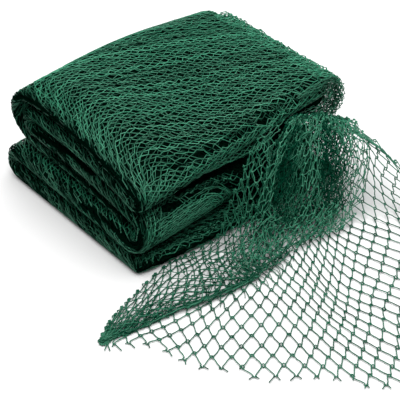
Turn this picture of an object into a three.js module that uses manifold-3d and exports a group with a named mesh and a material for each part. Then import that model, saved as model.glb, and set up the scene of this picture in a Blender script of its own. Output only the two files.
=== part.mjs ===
// Folded packet of knotted garden netting, with one loose end pulled out and spread on the surface.
// Millimetres, +Z up. X runs along the fold lines, Y along the runs of the folded section.
import * as THREE from 'three';
import { mergeVertices } from 'three/addons/utils/BufferGeometryUtils.js';
import Module from 'manifold-3d';

const wasm = await Module();
wasm.setup();

// Packet: width along the fold lines, and how finely its section is stepped
const packetWidth = 232;
const runSteps = 6;
const bendSteps = 6;
const edgeRoundSteps = [0, 1.5, 4.5, 9];
const middleColumns = 5;
const edgeThinnest = 0.25;

// One row for each run of the section, from the surface up to the top and back under it.
// fl, fr, bl and br are the heights of its middle at the front left, front right, back left and back right,
// and crown is how much higher its back stands half way across.
// halfFront and halfBack are half its thickness, front and back are where its straight part ends along Y,
// skew is how much further forward its front right is, and left and right are its side edges along X.
const runs = [
  { name: 'bottom', fl: 7.5, fr: 7.5, bl: 7.5, br: 7.5, crown: 0,
    halfFront: 7.5, halfBack: 7.5, front: 3, back: 176, skew: 24, left: -5, right: 222 },
  { name: 'lowerTop', fl: 25, fr: 31, bl: 29.5, br: 31, crown: 0,
    halfFront: 8, halfBack: 9, front: 16, back: 176, skew: 0, left: -4, right: 222 },
  { name: 'inner', fl: 50, fr: 56, bl: 65, br: 56, crown: 0,
    halfFront: 6, halfBack: 5.8, front: 16, back: 156, skew: 0, left: 4, right: 196 },
  { name: 'upperInner', fl: 64, fr: 79, bl: 83, br: 79, crown: 0,
    halfFront: 5.2, halfBack: 5.5, front: 15, back: 156, skew: 0, left: 4, right: 226 },
  { name: 'top', fl: 78, fr: 93, bl: 102, br: 91, crown: 7,
    halfFront: 5.2, halfBack: 5.5, front: 15, back: 155, skew: 0, left: 1, right: 233 },
  { name: 'tuck', fl: 38, fr: 44.5, bl: 50, br: 45, crown: 0,
    halfFront: 3, halfBack: 3.6, front: 30, back: 155, skew: 0, left: 5, right: 210 },
];
const topRun = 4;
const runOverLeg = 3;
const runUnderLeg = 2;
const outerBulge = 2;

// Soft unevenness that the runs share: none up to the start height, all of it from the full height.
// Each wave has its height, its lengths along X and Y, and its phase.
const swellStart = 15;
const swellFull = 100;
const crossWave = { height: 1.6, alongX: 31, alongY: 37, phase: 0.6 };
const slantWave = { height: 1.2, length: 47 };

// The top run's right edge turns down round the run below and goes in under it.
// One row for each line along Y, from the top run's edge to the inner end of the leg.
// held says how far the runs above and below hold the line in the middle of their gap.
const wrap = [
  { name: 'crest', x: 245, z: 87.5, half: 3, held: 0 },
  { name: 'side', x: 251, z: 78, half: 2, held: 0 },
  { name: 'side', x: 248, z: 67, half: 1.7, held: 0 },
  { name: 'turn', x: 237, z: 60.5, half: 1.6, held: 0 },
  { name: 'leg', x: 224, z: 61, half: 1.6, held: 0 },
  { name: 'leg', x: 213, z: 63.5, half: 1.6, held: 0.3 },
  { name: 'leg', x: 202, z: 66, half: 1.6, held: 0.8 },
  { name: 'leg', x: 191, z: 67, half: 1.6, held: 1 },
  { name: 'leg', x: 180, z: 67, half: 1.6, held: 1 },
  { name: 'leg', x: 169, z: 67, half: 1.6, held: 1 },
  { name: 'leg', x: 158, z: 67, half: 1.6, held: 1 },
  { name: 'leg', x: 147, z: 67, half: 1.6, held: 1 },
];
const firstLeg = wrap.findIndex((line) => line.name === 'turn');

// The hanging root of the loose end, from the packet's front down to the surface.
// Each row has its right, middle and left point.
const hang = [
  { name: 'exit', rx: 243, ry: -6, rz: 60, mx: 190, my: -6, mz: 65, lx: 138, ly: -6, lz: 67 },
  { name: 'shoulder', rx: 243, ry: -30, rz: 61, mx: 184, my: -20, mz: 60, lx: 126, ly: -10, lz: 68 },
  { name: 'fall', rx: 242, ry: -50, rz: 54, mx: 172, my: -33, mz: 40, lx: 113, ly: -13, lz: 46 },
  { name: 'foot', rx: 240, ry: -63, rz: 32, mx: 158, my: -44, mz: 17, lx: 99, ly: -18, lz: 22 },
  { name: 'ground', rx: 234, ry: -77, rz: 8, mx: 146, my: -56, mz: 4, lx: 84, ly: -28, lz: 5 },
  { name: 'gather', rx: 226, ry: -92, rz: 3, mx: 128, my: -72, mz: 3, lx: 52, ly: -64, lz: 3 },
];
const hangSteps = 2;
const hangHalf = 1.5;
const pleatCount = 3;
const pleatDepth = 4.5;
const pleatRestHeight = 30;
const pleatWay = new THREE.Vector3(-0.4, -1, 0.3);

// The net spread on the surface, cut 1.3 times as coarse as the real mesh
const coarseness = 1.3;
const halfAcross = 7.95 * coarseness;
const halfAlong = 10.7 * coarseness;
const barWidth = 2.2;
const netThickness = 2;
const acrossTurn = THREE.MathUtils.degToRad(-42.2);
const spreadStart = { x: 60, y: -150 };
const netReach = 24;

// Corners of the spread net, round the floor
const spreadOutline = [
  { name: 'tip', x: -80, y: -40 },
  { name: 'cut edge', x: -48, y: -70 },
  { name: 'cut edge', x: -36, y: -104 },
  { name: 'cut edge', x: -8, y: -142 },
  { name: 'cut edge', x: 20, y: -176 },
  { name: 'cut edge', x: 52, y: -212 },
  { name: 'cut edge', x: 84, y: -258 },
  { name: 'far corner', x: 112, y: -280 },
  { name: 'right side', x: 266, y: -140 },
  { name: 'right side', x: 240, y: -82 },
  { name: 'under the foot', x: 180, y: -60 },
  { name: 'under the foot', x: 112, y: -40 },
  { name: 'packet side', x: 60, y: -8 },
  { name: 'packet side', x: 8, y: -8 },
  { name: 'selvage', x: -36, y: -18 },
];

// Corners of the layer folded back over it, and how high it arches
const flapOutline = [
  { name: 'tip', x: -74, y: -38 },
  { name: 'roll side', x: 40, y: -72 },
  { name: 'roll side', x: 110, y: -76 },
  { name: 'root side', x: 96, y: -34 },
  { name: 'packet side', x: 60, y: -8 },
  { name: 'packet side', x: 8, y: -8 },
  { name: 'selvage', x: -36, y: -18 },
];
const flapArch = 4;
const flapArchRun = 16;
const flapTurn = THREE.MathUtils.degToRad(9);
const flapStart = { x: 20, y: -40 };

// The rolled fold that crosses the spread net, from its thick end to the tip
const roll = [
  { name: 'thick end', x: 222, y: -84, z: 6, radius: 4 },
  { name: 'gather', x: 168, y: -80, z: 5, radius: 4 },
  { name: 'gather', x: 128, y: -76, z: 4.4, radius: 3.6 },
  { name: 'flap edge', x: 90, y: -75, z: 4, radius: 3.2 },
  { name: 'flap edge', x: 42, y: -70, z: 3.4, radius: 2.6 },
  { name: 'flap edge', x: 2, y: -61, z: 2.8, radius: 2.2 },
  { name: 'flap edge', x: -40, y: -50, z: 2.4, radius: 1.8 },
  { name: 'tip', x: -74, y: -42, z: 1.9, radius: 1.4 },
];
const rollSides = 6;
const rollSteps = 16;
const weldDistance = 1e-4;

const netting = new THREE.MeshStandardMaterial({ color: '#17644a', roughness: 0.55, metalness: 0 });
netting.name = 'polyethylene twine';

const { lerp: mix, clamp } = THREE.MathUtils;
const smooth = (t) => t * t * (3 - 2 * t);
const easeOut = (t) => 1 - (1 - t) * (1 - t);
const arch = (t) => 4 * t * (1 - t);

// Height of the unevenness at a point
function swell(x, y, z) {
  const lift = clamp((z - swellStart) / (swellFull - swellStart), 0, 1);
  const cross = crossWave.height * Math.sin(x / crossWave.alongX + crossWave.phase)
    * Math.sin(y / crossWave.alongY);
  return lift * (cross + slantWave.height * Math.sin((x + y) / slantWave.length));
}

// Middle of a run: along is 0 at the front and 1 at the back, across is 0 at the left and 1 at the right
function runPoint(run, along, across) {
  const lean = easeOut(along);
  const x = mix(run.left, run.right, across);
  const y = mix(run.front, run.back, along) - run.skew * Math.sqrt(across) * (1 - along);
  const plain = mix(mix(run.fl, run.bl, lean), mix(run.fr, run.br, lean), smooth(across));
  const z = plain + run.crown * lean * arch(across);
  return new THREE.Vector3(x, y, z + swell(x, y, z));
}

const runHalf = (run, along) => mix(run.halfFront, run.halfBack, along);

// Height half way between the runs over and under the leg, at a floor point
function gapHeight(x, y) {
  const at = (run) => {
    const along = clamp((y - run.front) / (run.back - run.front), 0, 1);
    const across = clamp((x - run.left) / (run.right - run.left), 0, 1);
    return { z: runPoint(run, along, across).z, half: runHalf(run, along) };
  };
  const [above, below] = [at(runs[runOverLeg]), at(runs[runUnderLeg])];
  return (above.z - above.half + below.z + below.half) / 2;
}

// Half turn from one run into the next, at the front (side -1) or the back (side 1)
function bendPoint(from, to, across, turn, side, bulge) {
  const along = side > 0 ? 1 : 0;
  const start = runPoint(from, along, across);
  const arm = runPoint(to, along, across).sub(start).multiplyScalar(0.5);
  const centre = start.clone().add(arm);
  const reach = Math.abs(arm.z) + bulge;
  const angle = Math.PI * turn;
  return new THREE.Vector3(
    centre.x - arm.x * Math.cos(angle),
    centre.y - arm.y * Math.cos(angle) + side * reach * Math.sin(angle),
    centre.z - arm.z * Math.cos(angle),
  );
}

// Places across the packet, as distances from its left edge, closer together at the rounded sides
function columnPlaces() {
  const inset = edgeRoundSteps.at(-1);
  const places = [...edgeRoundSteps];
  for (let k = 1; k < middleColumns; k += 1) {
    places.push(inset + ((packetWidth - 2 * inset) * k) / middleColumns);
  }
  return [...places, ...edgeRoundSteps.map((step) => packetWidth - step).reverse()];
}

// Thinner towards a side edge, like the rim of a soft roll
function roundedHalf(half, fromEdge) {
  const t = Math.min(1, fromEdge / half);
  return half * Math.max(edgeThinnest, Math.sqrt(1 - (1 - t) * (1 - t)));
}

// The section as a row of stations from the bottom run's front to the tucked end
function sectionStations() {
  const stations = [];
  runs.forEach((run, index) => {
    const forward = index % 2 === 0;
    for (let k = 0; k <= runSteps; k += 1) {
      const along = forward ? k / runSteps : 1 - k / runSteps;
      const half = runHalf(run, along);
      stations.push({ index, along, half, point: (across) => runPoint(run, along, across) });
    }
    const next = runs[index + 1];
    if (!next) return;
    const side = forward ? 1 : -1;
    const bulge = index === topRun ? outerBulge : 0;
    const end = forward ? 1 : 0;
    for (let k = 1; k < bendSteps; k += 1) {
      const turn = k / bendSteps;
      const half = mix(runHalf(run, end), runHalf(next, end), turn);
      stations.push({ index: -1, half, point: (across) => bendPoint(run, next, across, turn, side, bulge) });
    }
  });
  return stations;
}

// Corners and triangles of one closed body
class Body {
  constructor() {
    this.points = [];
    this.faces = [];
  }

  add(point) {
    this.points.push(point);
    return this.points.length - 1;
  }

  // A plate with both faces and its rim, from quads of paired nodes: each node is [upper, lower]
  plate(quads) {
    const edges = new Map();
    for (const quad of quads) {
      const [a, b, c, d] = quad;
      this.faces.push([a[0], b[0], c[0]], [a[0], c[0], d[0]]);
      this.faces.push([a[1], c[1], b[1]], [a[1], d[1], c[1]]);
      quad.forEach((node, k) => {
        const next = quad[(k + 1) % 4];
        edges.set(`${node[0]} ${next[0]}`, [node, next]);
      });
    }
    for (const [a, b] of edges.values()) {
      if (!edges.has(`${b[0]} ${a[0]}`)) this.faces.push([b[0], a[0], a[1]], [b[0], a[1], b[1]]);
    }
  }

  solid() {
    const geometry = new THREE.BufferGeometry();
    const flat = this.points.flatMap((p) => [p.x, p.y, p.z]);
    geometry.setAttribute('position', new THREE.Float32BufferAttribute(flat, 3));
    geometry.setIndex(this.faces.flat());
    const merged = mergeVertices(geometry, weldDistance);
    return new wasm.Manifold(new wasm.Mesh({
      numProp: 3,
      vertProperties: merged.attributes.position.array,
      triVerts: new Uint32Array(merged.index.array),
    }));
  }
}

// Grid of middle points and half thicknesses, made a plate along its own normals
class Sheet {
  constructor() {
    this.nodes = new Map();
    this.cells = [];
  }

  at(i, j) {
    return this.nodes.get(`${i} ${j}`);
  }

  put(i, j, point, half) {
    this.nodes.set(`${i} ${j}`, { i, j, point, half });
  }

  fill(i0, i1, j0, j1) {
    for (let i = i0; i < i1; i += 1) {
      for (let j = j0; j < j1; j += 1) this.cells.push([[i, j], [i + 1, j], [i + 1, j + 1], [i, j + 1]]);
    }
  }

  normal({ i, j }) {
    const near = (di, dj) => (this.at(i + di, j + dj) ?? this.at(i, j)).point;
    const du = near(1, 0).clone().sub(near(-1, 0));
    const dv = near(0, 1).clone().sub(near(0, -1));
    return dv.cross(du).normalize();
  }

  solid() {
    const body = new Body();
    for (const node of this.nodes.values()) {
      const n = this.normal(node);
      const upper = node.point.clone().addScaledVector(n, node.half);
      const lower = node.point.clone().addScaledVector(n, -node.half);
      upper.z = Math.max(0, upper.z);
      lower.z = Math.max(0, lower.z);
      node.pair = [body.add(upper), body.add(lower)];
    }
    body.plate(this.cells.map((cell) => cell.map(([i, j]) => this.at(i, j).pair).reverse()));
    return body.solid();
  }
}

// Point on the smooth curve through a row's right, middle and left point
function rowPoint(row, t) {
  const at = (axis) => {
    const [r, m, l] = [row[`r${axis}`], row[`m${axis}`], row[`l${axis}`]];
    return r * (1 - t) * (1 - 2 * t) + m * 4 * t * (1 - t) + l * t * (2 * t - 1);
  };
  return new THREE.Vector3(at('x'), at('y'), at('z'));
}

// Point on the hanging root: down is 0 at the packet and 1 at the gather, t is 0 at the right
function hangPoint(down, t) {
  const curve = new THREE.CatmullRomCurve3(hang.map((row) => rowPoint(row, t)), false, 'centripetal');
  const point = curve.getPoint(down);
  const depth = pleatDepth * clamp(point.z / pleatRestHeight, 0, 1) * Math.sin(Math.PI * down);
  return point.addScaledVector(pleatWay, depth * Math.sin(2 * Math.PI * pleatCount * t));
}

// Packet, side wrap and hanging root are one sheet
function packetSheet() {
  const sheet = new Sheet();
  const stations = sectionStations();
  const places = columnPlaces();
  const lastColumn = places.length - 1;
  const topStart = stations.findIndex((s) => s.index === topRun);
  const topEnd = topStart + runSteps - 1;
  stations.forEach((station, i) => {
    const wrapped = i >= topStart && i <= topEnd;
    places.forEach((place, j) => {
      const fromRight = wrapped ? packetWidth : packetWidth - place;
      const half = roundedHalf(station.half, Math.min(place, fromRight));
      sheet.put(i, j, station.point(place / packetWidth), half);
    });
  });
  sheet.fill(0, stations.length - 1, 0, lastColumn);

  for (let i = topStart; i <= topEnd; i += 1) {
    const y = sheet.at(i, lastColumn).point.y;
    wrap.forEach((line, k) => {
      const z = mix(line.z, gapHeight(line.x, y), line.held);
      sheet.put(i, lastColumn + 1 + k, new THREE.Vector3(line.x, y, z), line.half);
    });
  }
  const wrapEnd = lastColumn + wrap.length;
  sheet.fill(topStart, topEnd, lastColumn, wrapEnd);

  const rows = (hang.length - 1) * hangSteps;
  const legStart = lastColumn + 1 + firstLeg;
  for (let k = 0; k <= rows; k += 1) {
    for (let j = legStart; j <= wrapEnd; j += 1) {
      const t = (j - legStart) / (wrapEnd - legStart);
      sheet.put(topStart - 1 - k, j, hangPoint(k / rows, t), hangHalf);
    }
  }
  sheet.fill(topStart - 1 - rows, topStart, legStart, wrapEnd);
  return sheet.solid();
}

// True where a floor point lies inside an outline
function inside(outline, x, y) {
  let hit = false;
  outline.forEach((a, k) => {
    const b = outline[(k + 1) % outline.length];
    const crosses = (a.y > y) !== (b.y > y);
    if (crosses && x < a.x + ((y - a.y) / (b.y - a.y)) * (b.x - a.x)) hit = !hit;
  });
  return hit;
}

// Corner of a hole: the two bars that meet there are moved inwards by their own amounts
function insetCorner(before, corner, after, moveBefore, moveAfter) {
  const into = corner.clone().sub(before).normalize();
  const out = after.clone().sub(corner).normalize();
  const sine = into.cross(out);
  return corner.clone().addScaledVector(out, moveBefore / sine).addScaledVector(into, -moveAfter / sine);
}

// Net of diamond holes over an outline: one frame of bars for each hole, laid at height(x, y)
function netSolid(outline, start, turn, height) {
  const across = new THREE.Vector2(halfAcross, 0).rotateAround(new THREE.Vector2(), turn);
  const along = new THREE.Vector2(0, halfAlong).rotateAround(new THREE.Vector2(), turn);
  const origin = new THREE.Vector2(start.x, start.y);
  const place = (m, n) => origin.clone().addScaledVector(across, m).addScaledVector(along, n);
  const holes = new Set();
  for (let m = -netReach; m <= netReach; m += 1) {
    for (let n = -netReach; n <= netReach; n += 1) {
      const centre = place(m, n);
      if ((m + n) % 2 !== 0 && inside(outline, centre.x, centre.y)) holes.add(`${m} ${n}`);
    }
  }
  const body = new Body();
  const pair = (p) => {
    const middle = height(p.x, p.y);
    const sides = [middle + netThickness / 2, middle - netThickness / 2];
    return sides.map((z) => body.add(new THREE.Vector3(p.x, p.y, z)));
  };
  const knots = new Map();
  const knot = (m, n) => {
    const key = `${m} ${n}`;
    if (!knots.has(key)) knots.set(key, pair(place(m, n)));
    return knots.get(key);
  };
  const steps = [[1, 0], [0, 1], [-1, 0], [0, -1]];
  const quads = [];
  for (const hole of holes) {
    const [m, n] = hole.split(' ').map(Number);
    const corners = steps.map(([dm, dn]) => place(m + dm, n + dn));
    const moves = steps.map(([dm, dn], k) => {
      const [em, en] = steps[(k + 1) % 4];
      return holes.has(`${m + dm + em} ${n + dn + en}`) ? barWidth / 2 : barWidth;
    });
    const inner = corners.map((corner, k) => {
      const last = (k + 3) % 4;
      return pair(insetCorner(corners[last], corner, corners[(k + 1) % 4], moves[last], moves[k]));
    });
    const outer = steps.map(([dm, dn]) => knot(m + dm, n + dn));
    outer.forEach((node, k) => {
      const next = (k + 1) % 4;
      quads.push([node, outer[next], inner[next], inner[k]]);
    });
  }
  body.plate(quads);
  return body.solid();
}

// Height of the folded-back layer: low at the selvage, arched inside
function flapHeight(x, y) {
  const selvage = flapOutline.find((corner) => corner.name === 'selvage');
  const tip = flapOutline[0];
  const edge = new THREE.Vector2(selvage.x - tip.x, selvage.y - tip.y).normalize();
  const away = Math.abs(edge.cross(new THREE.Vector2(x - tip.x, y - tip.y)));
  return netThickness / 2 + flapArch * smooth(clamp(away / flapArchRun, 0, 1));
}

// Tapered tube along the rolled fold, flat where it meets the surface
function rollSolid() {
  const body = new Body();
  const path = new THREE.CatmullRomCurve3(roll.map(({ x, y, z }) => new THREE.Vector3(x, y, z)));
  const radii = new THREE.CatmullRomCurve3(roll.map(({ radius }, k) => new THREE.Vector3(k, radius, 0)));
  const rings = [];
  for (let k = 0; k <= rollSteps; k += 1) {
    const t = k / rollSteps;
    const centre = path.getPoint(t);
    const radius = radii.getPoint(t).y;
    const side = path.getTangent(t).cross(new THREE.Vector3(0, 0, 1)).normalize();
    const ring = [];
    for (let s = 0; s < rollSides; s += 1) {
      const angle = (2 * Math.PI * s) / rollSides;
      const point = centre.clone().addScaledVector(side, radius * Math.cos(angle));
      point.z = Math.max(0, point.z + radius * Math.sin(angle));
      ring.push(body.add(point));
    }
    rings.push(ring);
  }
  for (let k = 0; k < rollSteps; k += 1) {
    for (let s = 0; s < rollSides; s += 1) {
      const next = (s + 1) % rollSides;
      const [a, b, c, d] = [rings[k][s], rings[k + 1][s], rings[k + 1][next], rings[k][next]];
      body.faces.push([a, b, c], [a, c, d]);
    }
  }
  for (const [ring, flip] of [[rings[0], false], [rings[rollSteps], true]]) {
    for (let s = 1; s < rollSides - 1; s += 1) {
      body.faces.push(flip ? [ring[0], ring[s + 1], ring[s]] : [ring[0], ring[s], ring[s + 1]]);
    }
  }
  return body.solid();
}

// Everything joined into the one piece of netting, centred over its own box
function nettingGeometry() {
  const spread = netSolid(spreadOutline, spreadStart, acrossTurn, () => netThickness / 2);
  const flap = netSolid(flapOutline, flapStart, acrossTurn + flapTurn, flapHeight);
  const whole = [spread, flap, rollSolid()].reduce((sum, solid) => sum.add(solid), packetSheet());
  const mesh = whole.getMesh();
  const geometry = new THREE.BufferGeometry();
  geometry.setAttribute('position', new THREE.Float32BufferAttribute(mesh.vertProperties, 3));
  geometry.setIndex(new THREE.Uint32BufferAttribute(mesh.triVerts, 1));
  geometry.computeBoundingBox();
  const box = geometry.boundingBox;
  geometry.translate(-(box.min.x + box.max.x) / 2, -(box.min.y + box.max.y) / 2, -box.min.z);
  geometry.computeVertexNormals();
  return geometry;
}

const mesh = new THREE.Mesh(nettingGeometry(), netting);
mesh.name = 'netting';

const part = new THREE.Group();
part.add(mesh);

export default part;
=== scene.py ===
# Dark green knotted garden netting, folded into a packet, with one loose end spread on a white table.
# Sizes are in millimetres from the packet's front left corner.
# packetToPart moves them to the part's frame, in metres.
import math

import bpy
import numpy as np
from mathutils import Matrix


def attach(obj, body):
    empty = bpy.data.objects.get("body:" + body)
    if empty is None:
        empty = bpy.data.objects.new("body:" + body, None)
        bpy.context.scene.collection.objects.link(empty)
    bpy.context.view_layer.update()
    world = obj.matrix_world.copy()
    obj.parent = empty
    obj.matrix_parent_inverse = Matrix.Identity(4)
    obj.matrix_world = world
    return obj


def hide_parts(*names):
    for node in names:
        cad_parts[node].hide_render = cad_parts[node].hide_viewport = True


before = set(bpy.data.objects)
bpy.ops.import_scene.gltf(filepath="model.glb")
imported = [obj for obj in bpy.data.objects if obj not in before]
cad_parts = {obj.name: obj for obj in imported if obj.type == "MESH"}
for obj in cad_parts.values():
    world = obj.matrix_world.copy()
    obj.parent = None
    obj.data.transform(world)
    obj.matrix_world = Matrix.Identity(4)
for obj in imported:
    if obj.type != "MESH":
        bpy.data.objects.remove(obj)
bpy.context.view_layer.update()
millimetre = 0.001
packetCorner = np.array([94.84, -40.93, 0.0])
rng = np.random.default_rng(11)


def packetToPart(points):
    return (np.asarray(points, float) - packetCorner) * millimetre


def rowsOf(names, *rows):
    # the rows of a table as dictionaries, by the names of its columns
    return [dict(zip(names.split(), row)) for row in rows]


def addObject(name, data):
    obj = bpy.data.objects.new(name, data)
    bpy.context.scene.collection.objects.link(obj)
    return obj


def axesMatrix(x, y, z, place):
    return Matrix([[x[k], y[k], z[k], place[k]] for k in range(3)] + [[0, 0, 0, 1]])


# Camera: a short telephoto about 41 degrees above the table, placed by a fit of the packet's edges
view = {"place": [-460.59, -582.82, 730.78], "target": [104.1, 39.95, 0.0], "lens": 108, "sensor": 36,
        "farthestMetres": 20}
cameraPlace = packetToPart(view["place"])
cameraTarget = packetToPart(view["target"])
cameraData = bpy.data.cameras.new("camera")
cameraData.lens = view["lens"]
cameraData.sensor_width = view["sensor"]
cameraData.clip_end = view["farthestMetres"]
camera = addObject("camera", cameraData)
cameraBack = (cameraPlace - cameraTarget) / np.linalg.norm(cameraPlace - cameraTarget)
cameraRight = np.cross([0, 0, 1], cameraBack)
cameraRight /= np.linalg.norm(cameraRight)
cameraUp = np.cross(cameraBack, cameraRight)
camera.matrix_world = axesMatrix(cameraRight, cameraUp, cameraBack, cameraPlace)
bpy.context.scene.camera = camera


# Materials

def linearColour(code):
    # sRGB hex to the linear values that the sockets take
    parts = [int(code[k:k + 2], 16) / 255 for k in (1, 3, 5)]
    return [c / 12.92 if c <= 0.04045 else ((c + 0.055) / 1.055) ** 2.4 for c in parts] + [1.0]


def addNode(tree, kind, settings=None, **inputs):
    # one node with its settings and plain inputs; input names use _ for a space
    node = tree.nodes.new(kind)
    for name, value in (settings or {}).items():
        setattr(node, name, value)
    for name, value in inputs.items():
        socket = node.inputs[name.replace("_", " ")]
        if isinstance(value, bpy.types.NodeSocket):
            tree.links.new(value, socket)
        else:
            socket.default_value = value
    return node


def newMaterial(name):
    material = bpy.data.materials.new(name)
    material.use_nodes = True
    tree = material.node_tree
    tree.nodes.clear()
    return material, tree


def finishMaterial(tree, shader):
    out = addNode(tree, "ShaderNodeOutputMaterial")
    tree.links.new(shader.outputs["BSDF"], out.inputs["Surface"])


def blendColours(tree, value, dark, light, **limits):
    # the share of light over the value's limits, and the colour between dark and light
    ramp = addNode(tree, "ShaderNodeMapRange", Value=value, **limits)
    mix = addNode(tree, "ShaderNodeMix", {"data_type": "RGBA"})
    tree.links.new(ramp.outputs["Result"], mix.inputs["Factor"])
    mix.inputs[6].default_value = linearColour(dark)
    mix.inputs[7].default_value = linearColour(light)
    return ramp.outputs["Result"], mix.outputs[2]


# Mottle along a twine in mm, its share in the shade, the shades of both end colours, and the gloss
twineLook = {"mottle": 9, "mottleShare": 0.5, "darkest": 0.15, "lightest": 1.15, "gloss": 0.6}


def twineMaterial(name, dark, light, roughness):
    # extruded polyethylene, satin: each twine a little lighter or darker at random, plus painted shade
    # carried in the shade attribute; the gloss falls with it, so twines in painted shade lose their
    # reflection
    material, tree = newMaterial(name)
    shade = addNode(tree, "ShaderNodeAttribute", {"attribute_name": "shade"})
    place = addNode(tree, "ShaderNodeTexCoord")
    mottle = addNode(tree, "ShaderNodeTexNoise", Vector=place.outputs["Object"],
                     Scale=1 / (twineLook["mottle"] * millimetre), Detail=2.0, Roughness=0.6)
    blend = addNode(tree, "ShaderNodeMath", {"operation": "MULTIPLY_ADD"})
    tree.links.new(mottle.outputs["Fac"], blend.inputs[0])
    blend.inputs[1].default_value = twineLook["mottleShare"]
    tree.links.new(shade.outputs["Fac"], blend.inputs[2])
    share, colour = blendColours(tree, blend.outputs[0], dark, light,
                                 From_Min=twineLook["darkest"], From_Max=twineLook["lightest"])
    shader = addNode(tree, "ShaderNodeBsdfPrincipled", Base_Color=colour, Roughness=roughness)
    gloss = addNode(tree, "ShaderNodeMath", {"operation": "MULTIPLY"})
    tree.links.new(share, gloss.inputs[0])
    gloss.inputs[1].default_value = twineLook["gloss"]
    tree.links.new(gloss.outputs[0], shader.inputs["Specular IOR Level"])
    finishMaterial(tree, shader)
    return material


# Size of the dark cells in mm, and how far their lighter edges reach in; both colours are near-black painted
# shade
shadeInsideLooks = {"cell": 6, "edge": 0.18, "gap": "#010805", "twine": "#04180f", "roughness": 0.8}


def shadeInsideMaterial():
    # what shows deep between the twines: net upon net in shadow, painted as shade, nearly black green
    material, tree = newMaterial("netLayersInPaintedShade")
    place = addNode(tree, "ShaderNodeTexCoord")
    cells = addNode(tree, "ShaderNodeTexVoronoi", {"feature": "DISTANCE_TO_EDGE"},
                    Vector=place.outputs["Object"], Scale=1 / (shadeInsideLooks["cell"] * millimetre))
    colour = blendColours(tree, cells.outputs["Distance"], shadeInsideLooks["gap"], shadeInsideLooks["twine"],
                          From_Min=0.0, From_Max=shadeInsideLooks["edge"], To_Min=1.0, To_Max=0.0)[1]
    shader = addNode(tree, "ShaderNodeBsdfPrincipled", Base_Color=colour,
                     Roughness=shadeInsideLooks["roughness"], Specular_IOR_Level=0.0)
    finishMaterial(tree, shader)
    return material


packetTwine = twineMaterial("polyethyleneTwinePacket", "#01140c", "#2d8866", 0.42)
looseTwine = twineMaterial("polyethyleneTwineLoose", "#033424", "#257a5b", 0.45)
shadeInsideLook = shadeInsideMaterial()
print("materials ready")


# Twines: polylines swept by Geometry Nodes

def sweepTree():
    tree = bpy.data.node_groups.new("sweepTwine", "GeometryNodeTree")
    sockets = {"Geometry": "Geometry", "Twine Radius": "Float", "Sides": "Int", "Material": "Material"}
    for name, kind in sockets.items():
        tree.interface.new_socket(name, in_out="INPUT", socket_type="NodeSocket" + kind)
    tree.interface.new_socket("Geometry", in_out="OUTPUT", socket_type="NodeSocketGeometry")
    source = tree.nodes.new("NodeGroupInput").outputs
    curve = addNode(tree, "GeometryNodeMeshToCurve", Mesh=source["Geometry"])
    swell = addNode(tree, "GeometryNodeInputNamedAttribute", {"data_type": "FLOAT"}, Name="swell")
    profile = addNode(tree, "GeometryNodeCurvePrimitiveCircle",
                      Resolution=source["Sides"], Radius=source["Twine Radius"])
    tube = addNode(tree, "GeometryNodeCurveToMesh", Curve=curve.outputs["Curve"],
                   Profile_Curve=profile.outputs["Curve"], Scale=swell.outputs["Attribute"], Fill_Caps=True)
    smooth = addNode(tree, "GeometryNodeSetShadeSmooth", Geometry=tube.outputs["Mesh"])
    real = addNode(tree, "GeometryNodeRealizeInstances", Geometry=smooth.outputs["Geometry"])
    painted = addNode(tree, "GeometryNodeSetMaterial", Geometry=real.outputs["Geometry"],
                      Material=source["Material"])
    out = tree.nodes.new("NodeGroupOutput")
    tree.links.new(painted.outputs["Geometry"], out.inputs["Geometry"])
    return tree


sweeper = sweepTree()


def socketId(tree, name):
    return next(s.identifier for s in tree.interface.items_tree
                if s.name == name and s.in_out == "INPUT")


class Twines:
    # polylines gathered for one piece: points, swell of the radius and shade
    def __init__(self):
        self.points, self.swell, self.shade, self.edges = [], [], [], []
        self.count = 0

    def add(self, points, swell, shade):
        n = len(points)
        self.points.append(points)
        self.swell.append(np.broadcast_to(swell, n))
        self.shade.append(np.broadcast_to(shade, n))
        index = np.arange(n - 1) + self.count
        self.edges.append(np.stack([index, index + 1], axis=1))
        self.count += n

    def build(self, name, radius, sides, material):
        mesh = bpy.data.meshes.new(name)
        points = packetToPart(np.concatenate(self.points))
        edges = np.concatenate(self.edges)
        mesh.vertices.add(len(points))
        mesh.vertices.foreach_set("co", points.astype(np.float32).ravel())
        mesh.edges.add(len(edges))
        mesh.edges.foreach_set("vertices", edges.astype(np.int32).ravel())
        for label, values in (("swell", self.swell), ("shade", self.shade)):
            layer = mesh.attributes.new(label, "FLOAT", "POINT")
            layer.data.foreach_set("value", np.concatenate(values).astype(np.float32))
        mesh.update()
        obj = addObject(name, mesh)
        sweep = obj.modifiers.new("sweep", "NODES")
        sweep.node_group = sweeper
        sweep[socketId(sweeper, "Twine Radius")] = radius * millimetre
        sweep[socketId(sweeper, "Sides")] = sides
        sweep[socketId(sweeper, "Material")] = material
        graph = bpy.context.evaluated_depsgraph_get()
        final = bpy.data.meshes.new_from_object(obj.evaluated_get(graph), depsgraph=graph)
        obj.modifiers.clear()
        final.name = name
        obj.data = final
        bpy.data.meshes.remove(mesh)
        final.materials.clear()
        final.materials.append(material)
        print(name, "triangles", sum(len(p.vertices) - 2 for p in final.polygons))
        return obj


def unit(v):
    return v / np.maximum(np.linalg.norm(v, axis=-1, keepdims=True), 1e-9)


def knottedSwell(count):
    # swell of a twine with a knot at every third point
    swell = np.ones(count)
    swell[1::3] = 1.6
    return swell


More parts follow.
